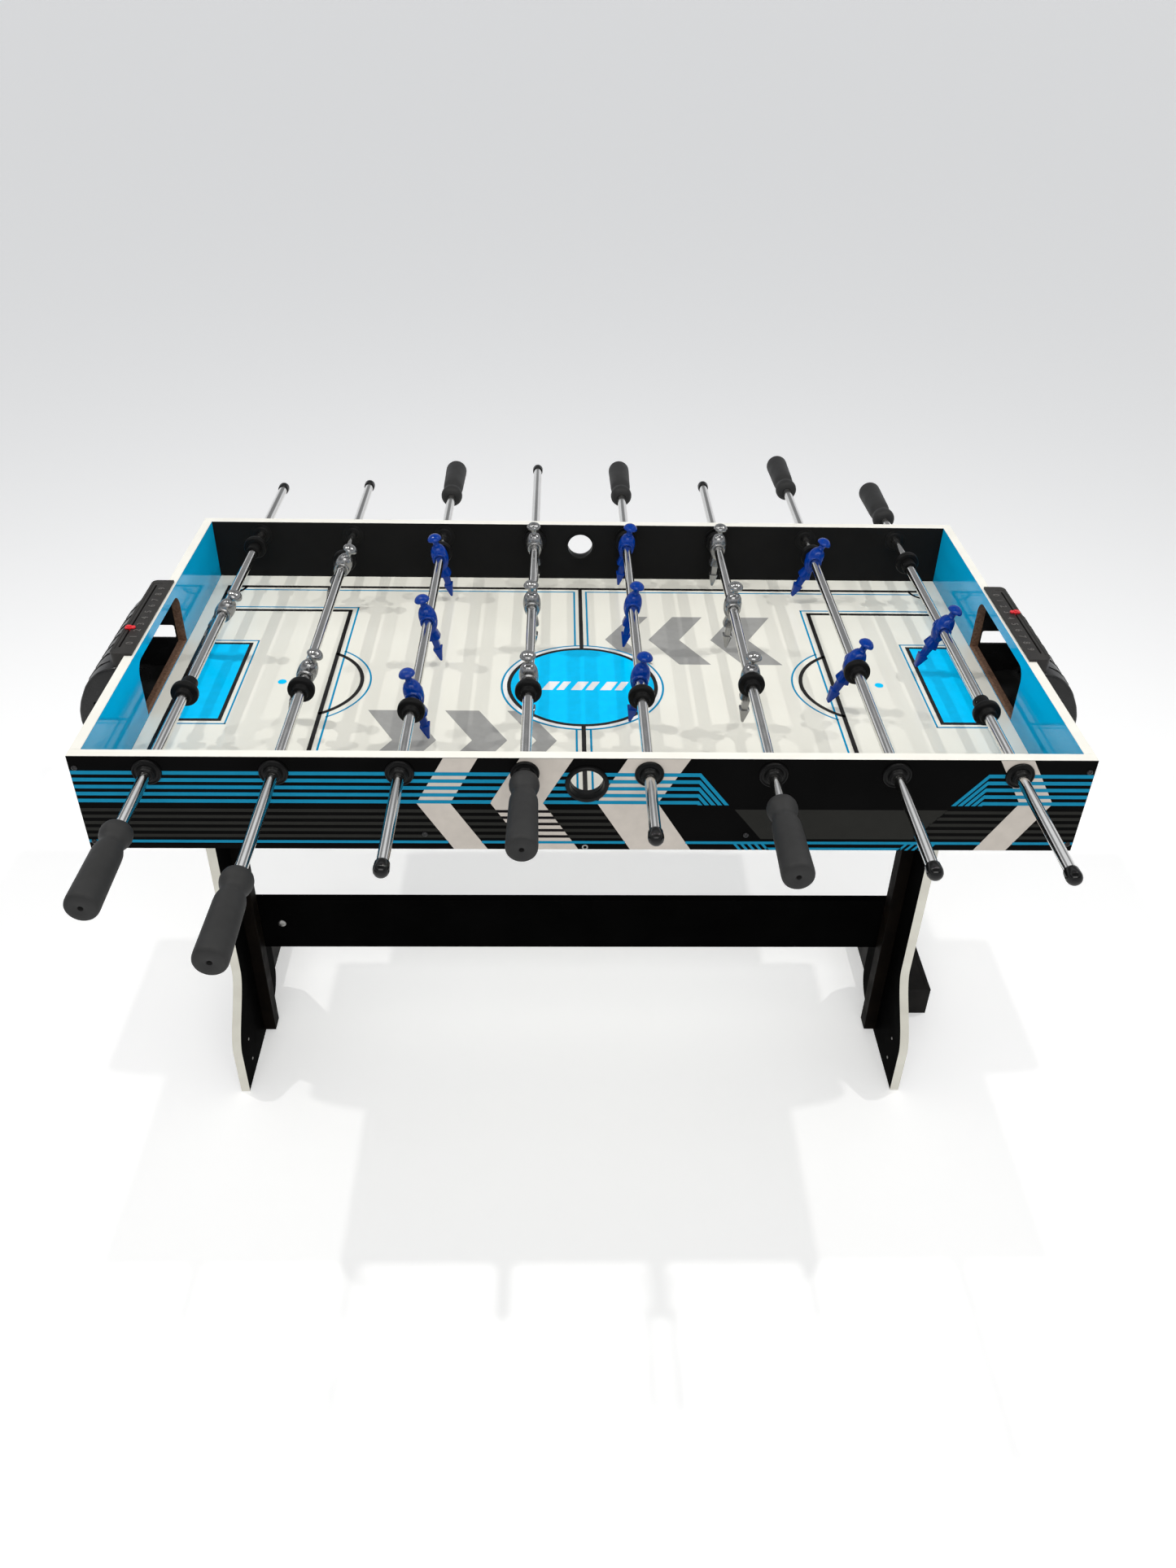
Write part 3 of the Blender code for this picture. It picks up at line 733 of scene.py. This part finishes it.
def make_counters():
    """Bars that lap over the rim, with a slot, an engraved frame and embossed figures, lightened as a painted
    highlight.
    """
    figures = [digit_mesh(str(k)) for k in range(10)]
    for label, side in SIDES:
        low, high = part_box(f"{label}_score_counter")
        inner, outer = sorted((abs(low.x), abs(high.x)))
        wall = LENGTH + 0.0003
        lap = RIM + 0.0003
        corner = 0.009
        plan = [(side * inner, low.y), (side * (outer - corner), low.y)]
        plan += [(side * x, y) for x, y in arc((outer - corner, low.y + corner), corner, -80, 0, 6)]
        plan += [(side * x, y) for x, y in arc((outer - corner, high.y - corner), corner, 0, 80, 6)]
        plan += [(side * (outer - corner), high.y), (side * inner, high.y)]
        bar = mesh_of(prism(plan, low.z, high.z, "Z"), "counter")
        a, b = sorted((side * (inner - 0.01), side * wall))
        under = mesh_of(prism(rectangle(a, low.y - 0.01, b, high.y + 0.01), low.z - 0.01, lap, "Z"), "under")
        slot_x = side * 0.697
        reach = 0.103
        slot = soften(rectangle(slot_x - 0.0013, -reach, slot_x + 0.0013, reach), 0.0012)
        groove = mesh_of(prism(slot, high.z - 0.01, high.z + 0.01, "Z"), "groove")
        far = 0.109
        line = [(side * 0.7022, -0.108), (side * 0.7031, -0.108), (side * 0.7031, far + 0.0009),
                (side * 0.6885, far + 0.0009), (side * 0.6885, far), (side * 0.7022, far)]
        scribe = mesh_of(prism(line, high.z - 0.0007, high.z + 0.01, "Z"), "scribe")
        bar = carve(bar, under, groove, scribe)
        put(f"{label}_counter_bar", bar, "counter", "table", [f"{label}_score_counter"],
            bevel=0.0009)
        first, pitch = 0.091, 0.0202
        for k, mesh in enumerate(figures):
            y = side * (first - pitch * k)
            at = shift(side * 0.6845, y, high.z + 0.0001) @ rotation(-90 * side, "Z")
            # the figures' lighter colour is a painted highlight
            put(f"{label}_counter_figure_{k}", mesh, "figures", "table", at=at)


def make_markers():
    """Small red sliders, pointed towards the figures."""
    for label, side in SIDES:
        low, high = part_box(f"{label}_score_marker")
        mid = (low.y + high.y) / 2
        bm = bmesh.new()
        shape = [(0.7045, -0.0042), (0.7045, 0.0042), (0.696, 0.005), (0.6945, 0.0034), (0.6905, 0.004)]
        shape += [(0.6885, 0.0), (0.6905, -0.004), (0.6945, -0.0034), (0.696, -0.005)]
        base = high.z - 0.0078
        plan = [(side * x, mid + y) for x, y in soften(shape, 0.001, 2)]
        prism(plan, base, base + 0.0026, "Z", bm)
        prism([(side * x, mid + y) for x, y in soften(rectangle(0.6955, -0.0026, 0.702, 0.0026), 0.0012, 3)],
              base + 0.0022, base + 0.0044, "Z", bm)
        prism([(side * x, mid + y) for x, y in rectangle(0.6962, -0.004, 0.6978, 0.004)], low.z + 0.001,
              base + 0.0006, "Z", bm)
        put(f"{label}_marker_slider", mesh_of(bm, "marker"), "red", f"{label}_marker",
            [f"{label}_score_marker"], bevel=0.0006)


# ---------------------------------------------------------------- base

def leg_outline(top):
    """The boot shape of a leg board, as (Y, Z) points, front edge first."""
    front = [(-0.185, top)]
    for i in range(29):
        share = i / 28
        front.append((-0.185 - 0.0375 * (1 - math.cos(math.pi * share)), 0.225 - 0.13 * share))
    front.append((-0.26, 0.0))
    rear = arc((-0.045, 0.05), 0.05, -90, 0, 14)
    rear += soften([(0.005, 0.09), (0.005, 0.135), (-0.035, 0.25), (-0.035, 0.4)], 0.02, 5, closed=False)
    return front, rear + [(-0.035, top)]


def make_legs():
    """Boot-shaped boards with light banding on the front edge, darkened here as painted shade, and a batten
    inside.
    """
    for label, side in SIDES:
        low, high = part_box(f"{label}_leg")
        front, rear = leg_outline(high.z)
        board = mesh_of(prism(front + rear, low.x, high.x, "X"), "leg", 25)
        put(f"{label}_leg_board", board, "carcass", "table", [f"{label}_leg"], bevel=0.0005)
        edge = []
        for i, p in enumerate(front):
            last, then = Vector(front[max(i - 1, 0)]), Vector(front[min(i + 1, len(front) - 1)])
            along = (then - last).normalized()
            edge.append((p[0] + along.y * BAND, p[1] - along.x * BAND))
        strip = mesh_of(prism(edge + front[::-1], low.x - 0.0001, high.x + 0.0001, "X"), "shaded_leg_band", 25)
        # the legs' banding is the white banding darkened as painted shade
        put(f"{label}_leg_banding", strip, "shaded_leg_band", "table", bevel=0.0003, segments=2)
        inner = min(abs(low.x), abs(high.x))
        a, b = sorted((side * (inner - 0.022), side * (inner - 0.0003)))
        batten = mesh_of(prism(rectangle(a, -0.125, b, -0.0955), 0.012, high.z - 0.001, "Z"), "batten")
        put(f"{label}_leg_batten", batten, "batten", "table", bevel=0.0012)


def box_mesh(low, high, name):
    return mesh_of(prism(rectangle(low.x, low.y, high.x, high.y), low.z, high.z, "Z"), name)


def plain_board(node_name, name):
    """A board with slightly rounded edges, as large as its node."""
    low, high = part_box(node_name)
    put(name, box_mesh(low, high, name), "carcass", "table", [node_name], bevel=0.0007)


def make_base():
    plain_board("leg_stretcher", "stretcher_board")
    for label, side in SIDES:
        plain_board(f"{label}_mounting_plate", f"{label}_plate_board")
        low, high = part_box(f"{label}_rear_foot")
        beam = box_mesh(low, high, "beam")
        a, b, c, d = low.x + 0.008, high.x - 0.008, low.y + 0.01, high.y - 0.01
        lines = [mesh_of(prism(rectangle(*r), high.z - 0.0007, high.z + 0.01, "Z"), "line")
                 for r in ((a, c, a + 0.0012, d), (b - 0.0012, c, b, d), (a, d - 0.0012, b, d))]
        beam = carve(beam, *lines)
        put(f"{label}_foot_beam", beam, "beam", "table",
            [f"{label}_rear_foot"], bevel=0.0018)


# ---------------------------------------------------------------- screws

def screw_mesh(radius, height):
    """A round head with a cross recess, its back at Y 0 and its top towards -Y."""
    dome = [(0.0, 0.0), (0.0, radius), (-height * 0.35, radius * 0.97), (-height * 0.7, radius * 0.8)]
    dome += [(-height * 0.93, radius * 0.45), (-height, 0.0)]
    head = mesh_of(turned(dome, segments=28), "screw", 40)
    arm, half = radius * 0.62, radius * 0.13
    tools = []
    for a, b in ((arm, half), (half, arm)):
        tools.append(mesh_of(prism(rectangle(-a, -b, a, b), -height - 0.002, -height * 0.45, "Y"), "cross"))
    return carve(head, *tools)


def make_screws():
    big, small = screw_mesh(0.0042, 0.0024), screw_mesh(0.0026, 0.0012)
    spots = [(-0.6775, 0.7905), (-0.6775, 0.667), (-0.2225, 0.6815), (0.2225, 0.6815), (0.6775, 0.7905)]
    spots += [(0.6775, 0.667)]
    for name, side in LONG_SIDES:
        turn = rotation(0 if side < 0 else 180, "Z")
        for k, (x, z) in enumerate(spots, 1):
            at = shift(x * -side, side * (WIDTH + 0.0001), z) @ turn @ Matrix.Rotation(0.5 * k, 4, "Y")
            put(f"{name}_panel_screw_{k}", big, "dark_screw", "table", at=at)
        ring = turned(soften([(0.0, 0.0024), (-0.0008, 0.0024), (-0.0008, 0.0042), (0.0, 0.0046)], 0.0004, 2),
                      closed=True, segments=28)
        put(f"{name}_panel_eyelet", mesh_of(ring, "eyelet"), "screw", "table",
            at=shift(side * 0.001, side * (WIDTH + 0.0001), 0.6594) @ turn)
    bolt = screw_mesh(0.0075, 0.003)
    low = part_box("leg_stretcher")[0]
    put("stretcher_bolt", bolt, "screw", "table", at=shift(low.x + 0.058, low.y, 0.252))
    for label, side in SIDES:
        inner, outer = sorted(abs(corner.x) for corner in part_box(f"{label}_leg"))
        for face, x, angle in (("inner", inner, -90), ("outer", outer, 90)):
            turn = rotation(angle * side, "Z")
            for k, z in enumerate((0.035, 0.085), 1):
                at = shift(side * x, -0.215, z) @ turn
                put(f"{label}_leg_{face}_screw_{k}", small, "screw", "table", at=at)


# ---------------------------------------------------------------- rods

def figure_mesh():
    """A player, standing up from the rod: wedge foot, shin, flared kit, chest, neck and domed head."""
    keys = (  # height, half depth, half width, squareness
        (-0.0756, 0.001, 0.0052, 4.0), (-0.075, 0.0019, 0.0062, 5.0), (-0.064, 0.0049, 0.0074, 7.0),
        (-0.0545, 0.0076, 0.0084, 7.0), (-0.0532, 0.0078, 0.0086, 7.0), (-0.0528, 0.0074, 0.0082, 7.0),
        (-0.052, 0.0054, 0.0064, 5.0), (-0.0505, 0.0052, 0.0062, 5.0), (-0.043, 0.0056, 0.0067, 5.0),
        (-0.036, 0.0062, 0.0074, 5.0), (-0.035, 0.0066, 0.0078, 5.0), (-0.0346, 0.0096, 0.011, 5.0),
        (-0.0338, 0.0104, 0.0118, 5.0), (-0.0325, 0.0103, 0.0117, 5.0), (-0.023, 0.0082, 0.0096, 4.5),
        (-0.0195, 0.0076, 0.009, 3.6), (-0.0178, 0.0084, 0.0096, 3.0), (-0.013, 0.0116, 0.0114, 2.6),
        (-0.006, 0.014, 0.0126, 2.4), (0.002, 0.0148, 0.013, 2.2), (0.009, 0.0144, 0.0129, 2.2),
        (0.0155, 0.0128, 0.012, 2.2), (0.0205, 0.0101, 0.0104, 2.2), (0.023, 0.0078, 0.0086, 2.2),
        (0.0242, 0.0062, 0.0064, 2.0), (0.0262, 0.0054, 0.0054, 2.0), (0.029, 0.0053, 0.0053, 2.0),
        (0.0315, 0.006, 0.006, 2.0), (0.033, 0.0076, 0.0076, 2.0), (0.0336, 0.0104, 0.0104, 2.0),
        (0.0343, 0.0119, 0.0119, 2.0), (0.0353, 0.0124, 0.0124, 2.0), (0.0366, 0.0123, 0.0123, 2.0),
        (0.0385, 0.0116, 0.0116, 2.0), (0.0408, 0.0099, 0.0099, 2.0), (0.0428, 0.0074, 0.0074, 2.0),
        (0.0441, 0.0046, 0.0046, 2.0), (0.0447, 0.0022, 0.0022, 2.0))
    turns = sorted(set([360.0 * i / 32 for i in range(32)] + [87.0, 93.0, 267.0, 273.0]))
    bm = bmesh.new()
    rings = []
    for height, deep, wide, square in keys:
        ring = []
        for t in turns:
            c, s = math.cos(math.radians(t)), math.sin(math.radians(t))
            size = (abs(c) ** square + abs(s) ** square) ** (-1 / square)
            seam = 1.022 if t in (90.0, 270.0) else 1.0
            ring.append(bm.verts.new((deep * size * c, wide * size * s * seam, height)))
        rings.append(ring)
    foot = bm.verts.new((0.0, 0.0, keys[0][0] - 0.0002))
    crown = bm.verts.new((0.0, 0.0, keys[-1][0] + 0.0003))
    count = len(turns)
    for i in range(count):
        j = (i + 1) % count
        bm.faces.new((foot, rings[0][i], rings[0][j]))
        bm.faces.new((crown, rings[-1][i], rings[-1][j]))
        for lower, upper in zip(rings, rings[1:]):
            bm.faces.new((lower[i], lower[j], upper[j], upper[i]))
    mesh = mesh_of(bm, "figure", 30)
    collar = [(0.0138, 0.0085), (0.0142, 0.0092), (0.0142, 0.0112), (0.0134, 0.0122), (0.01, 0.0126),
              (0.0, 0.0126), (0.0, 0.0085)]
    extra = bmesh.new()
    extra.from_mesh(mesh)
    turned(collar, closed=True, segments=40, bm=extra)
    turned(flipped(collar), closed=True, segments=40, bm=extra)
    return mesh_of(extra, "figure", 34)


def pin_mesh():
    """The head of the pin that holds a figure, its axis along X, pointing to -X."""
    dome = [(0.0, 0.0), (0.0, 0.0016), (-0.0006, 0.0015), (-0.0009, 0.0008), (-0.001, 0.0)]
    mesh = mesh_of(turned(dome, segments=20), "pin")
    return moved(mesh, rotation(-90, "Z"))


def grip_mesh(out):
    """A turned grip with a bulb, a neck, a swelling body and a hole in its flat end."""
    shape = [(0.0, 0.0086), (0.0004, 0.0126), (0.002, 0.016), (0.005, 0.0186), (0.0095, 0.02)]
    shape += [(0.014, 0.0204), (0.0185, 0.0199), (0.023, 0.0186), (0.027, 0.017), (0.031, 0.0158)]
    shape += [(0.0345, 0.0155), (0.0385, 0.0161), (0.043, 0.0175), (0.048, 0.0187), (0.056, 0.0192)]
    shape += [(0.075, 0.0195), (0.1, 0.0199), (0.125, 0.0204), (0.14, 0.0207), (0.145, 0.0205)]
    shape += [(0.1478, 0.0198), (0.1493, 0.0187), (0.15, 0.017), (0.15, 0.0042), (0.1496, 0.0034)]
    shape += [(0.143, 0.0031), (0.143, 0.0)]
    profile = [(0.12, 0.0), (0.12, 0.0082), (0.0, 0.0082)] + shape
    return mesh_of(turned([(out * y, r) for y, r in profile], segments=64), "grip", 30)


def bumper_mesh():
    """A rubber ring with a tapered hub that points to -Y."""
    profile = [(0.01, 0.0081), (0.01, 0.017), (0.0094, 0.0187), (0.008, 0.0197), (0.0058, 0.02)]
    profile += [(0.0014, 0.02), (-0.0002, 0.0196), (-0.0012, 0.0186), (-0.0018, 0.0168), (-0.002, 0.014)]
    profile += [(-0.0026, 0.0129), (-0.0045, 0.0123), (-0.008, 0.0116), (-0.0096, 0.0112), (-0.01, 0.0106)]
    profile += [(-0.01, 0.0081)]
    return mesh_of(turned(profile, closed=True, segments=56), "bumper", 30)


def cap_mesh(out):
    """A bullet-shaped end cap, its tip at Y 0 and its mouth inwards."""
    shape = [(0.0, 0.0), (-0.0003, 0.003), (-0.0013, 0.0058), (-0.0032, 0.008), (-0.006, 0.0096)]
    shape += [(-0.0095, 0.0103), (-0.013, 0.0103), (-0.018, 0.0099), (-0.0212, 0.0097), (-0.022, 0.0093)]
    shape += [(-0.022, 0.0081), (-0.005, 0.0081), (-0.005, 0.0)]
    return mesh_of(turned([(out * y, r) for y, r in shape], segments=48), "cap", 34)


def collar_mesh():
    """A clamp collar, with a recess for its set screw on the side towards -X."""
    profile = soften([(-0.0095, 0.0081), (-0.0095, 0.0118), (0.0095, 0.0118), (0.0095, 0.0081)], 0.0012, 3)
    ring = mesh_of(turned(profile, closed=True, segments=48), "collar", 30)
    well = [(-0.004, 0.0), (-0.004, 0.0024), (0.004, 0.0024), (0.004, 0.0)]
    well = mesh_of(turned(well, segments=24), "well")
    well = moved(well, shift(-0.0128, 0, 0) @ rotation(90, "Z"))
    return carve(ring, well)


def make_rods():
    figure, pin, bumper, collar = figure_mesh(), pin_mesh(), bumper_mesh(), collar_mesh()
    grips = {out: grip_mesh(out) for out in (-1, 1)}
    caps = {out: cap_mesh(out) for out in (-1, 1)}
    tube_in_grip, tube_in_cap, collar_gap = 0.118, 0.0052, 0.232
    bush_inside, bumper_half = 0.0178, 0.0104
    for n, (x, lean, team, side) in enumerate(zip(ROD_X, LEANS, TEAMS, GRIP_SIDES), 1):
        body, carrier = f"rod_{n}", f"rod_{n}_carrier"
        axis = shift(x, 0.0, ROD_Z) @ rotation(lean, "Y")
        bar_low, bar_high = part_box(f"rod_{n}_bar")
        grip_low, grip_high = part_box(f"rod_{n}_grip")
        grip_start = grip_high.y if side < 0 else grip_low.y
        cap_tip = bar_high.y if side < 0 else bar_low.y
        ends = sorted((grip_start + side * tube_in_grip, cap_tip + side * tube_in_cap))
        tube = [(ends[0], 0.0), (ends[0], TUBE - 0.0005), (ends[0] + 0.0005, TUBE)]
        steps = 24
        tube += [(ends[0] + (ends[1] - ends[0]) * k / steps, TUBE) for k in range(1, steps)]
        tube += [(ends[1] - 0.0005, TUBE), (ends[1], TUBE - 0.0005), (ends[1], 0.0)]
        bar = mesh_of(turned(tube, segments=40), f"rod_{n}_tube", 40)
        put(f"rod_{n}_tube", bar, "steel", body, [f"rod_{n}_bar"], at=axis)
        put(f"rod_{n}_cap", caps[-side], "cap", body, at=axis @ shift(0, cap_tip, 0))
        put(f"rod_{n}_handle", grips[side], "grip", body, [f"rod_{n}_grip"],
            at=axis @ shift(0, grip_start, 0))
        places = []
        for k in range(1, 4):
            if f"rod_{n}_player_{k}" in frame["nodes"]:
                low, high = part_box(f"rod_{n}_player_{k}")
                places.append((low.y + high.y) / 2)
        for k, y in enumerate(places, 1):
            put(f"rod_{n}_figure_{k}", figure, team, body, [f"rod_{n}_player_{k}"],
                at=axis @ shift(0, y, 0))
            put(f"rod_{n}_figure_{k}_pin", pin, "dark_screw", body, at=axis @ shift(-0.0136, y, 0.0045))
        low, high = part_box(f"rod_{n}_bumper")
        near = (low.y + high.y) / 2
        level = shift(x, 0.0, ROD_Z)
        put(f"rod_{n}_near_bumper", bumper, "rubber", carrier, [f"rod_{n}_bumper"],
            at=level @ shift(0, near, 0))
        far = FAR_BUMPERS[n - 1]
        if len(places) == 1:
            for label, s in (("near", -1), ("far", 1)):
                y = places[0] + s * collar_gap
                put(f"rod_{n}_{label}_collar", collar, "rubber", body, at=axis @ shift(0, y, 0))
                put(f"rod_{n}_{label}_collar_screw", pin, "screw", body,
                    at=axis @ shift(-0.0098, y, 0) @ Matrix.Scale(1.25, 4))
            far = places[0] + 0.2515 if far is None else far
        elif far is None:
            far = places[-1] + 0.0245
        far = min(far, WIDTH - bush_inside - bumper_half - SLIDES[f"rod_{n}_slide"])
        put(f"rod_{n}_far_bumper", bumper, "rubber", carrier,
            at=level @ shift(0, far, 0) @ rotation(180, "Z"))


# ---------------------------------------------------------------- stage

def make_stage():
    """A pale floor, a banded studio sky, four small lamps, a soft one in front and the camera."""
    bm = bmesh.new()
    bmesh.ops.create_grid(bm, x_segments=2, y_segments=2, size=60.0)
    floor = linked("floor", mesh_of(bm, "floor"))
    floor.location.z = -0.0006
    pale = principled("studio floor", (0.88, 0.88, 0.88), 0.65)
    shader = pale.node_tree.nodes["Principled BSDF"]
    shader.inputs["Emission Color"].default_value = (1.0, 1.0, 1.0, 1.0)
    shader.inputs["Emission Strength"].default_value = 0.34
    floor.data.materials.append(pale)
    world = bpy.data.worlds.new("studio")
    world.use_nodes = True
    bpy.context.scene.world = world
    nodes, links = world.node_tree.nodes, world.node_tree.links
    back = nodes["Background"]
    back.inputs["Color"].default_value = (0.95, 0.97, 1.0, 1.0)
    places = nodes.new("ShaderNodeTexCoord")
    split = nodes.new("ShaderNodeSeparateXYZ")
    rise = nodes.new("ShaderNodeValToRGB")
    stops = ((0.0, 0.8), (0.26, 0.8), (0.33, 0.25), (0.57, 0.23), (0.61, 0.88), (0.71, 0.88), (0.78, 0.16))
    while len(rise.color_ramp.elements) < len(stops):
        rise.color_ramp.elements.new(0.5)
    for stop, (at, level) in zip(rise.color_ramp.elements, stops):
        stop.position, stop.color = at, (level, level, level, 1.0)
    links.new(places.outputs["Generated"], split.inputs["Vector"])
    links.new(split.outputs["Z"], rise.inputs["Fac"])
    links.new(rise.outputs["Color"], back.inputs["Strength"])
    for k, (x, y, z, wide, long, power) in enumerate((
            (-1.6, 0.3, 2.6, 0.04, 0.04, 12.6), (-0.55, 0.1, 2.6, 0.04, 0.04, 8.0),
            (0.55, 0.1, 2.6, 0.04, 0.04, 8.0), (1.6, 0.3, 2.6, 0.04, 0.04, 12.6),
            (0.0, -2.7, 2.7, 3.2, 1.4, 45.0))):
        lamp = bpy.data.lights.new(f"lamp_{k}", "AREA")
        lamp.shape = "RECTANGLE"
        lamp.size, lamp.size_y = wide, long
        lamp.energy = power
        lamp.color = (1.0, 0.985, 0.96)
        made = linked(f"lamp_{k}", lamp)
        made.location = (x, y, z)
        aim = Vector((x * 0.35, 0.0, 0.7)) - Vector((x, y, z))
        made.rotation_mode = "QUATERNION"
        made.rotation_quaternion = aim.to_track_quat("-Z", "Y")
    lens = bpy.data.cameras.new("camera")
    lens.sensor_fit = "AUTO"
    lens.sensor_width = 36.0
    lens.lens = 27.777
    lens.clip_start, lens.clip_end = 0.05, 120.0
    camera = linked("camera", lens)
    yaw, pitch, roll = math.radians(1.7355), math.radians(35.6638), math.radians(1.25)
    ahead = Vector((math.sin(yaw) * math.cos(pitch), math.cos(yaw) * math.cos(pitch), -math.sin(pitch)))
    right = Vector((math.cos(yaw), -math.sin(yaw), 0.0))
    up = right.cross(ahead)
    across = right * math.cos(roll) + up * math.sin(roll)
    above = up * math.cos(roll) - right * math.sin(roll)
    turn = Matrix((across, above, -ahead)).transposed()
    camera.matrix_world = shift(-0.0387, -1.7064, 1.7163) @ turn.to_4x4()
    bpy.context.scene.camera = camera
    bpy.context.scene.view_settings.view_transform = "Standard"


make_side_panels()
make_end_panels()
make_entries()
make_bushes()
frame["nodes"]["playfield"].material_slots[0].material = M["field"]
make_field_print()
make_panel_print()
make_goal_boxes()
make_counters()
make_markers()
make_legs()
make_base()
make_screws()
make_rods()
make_stage()
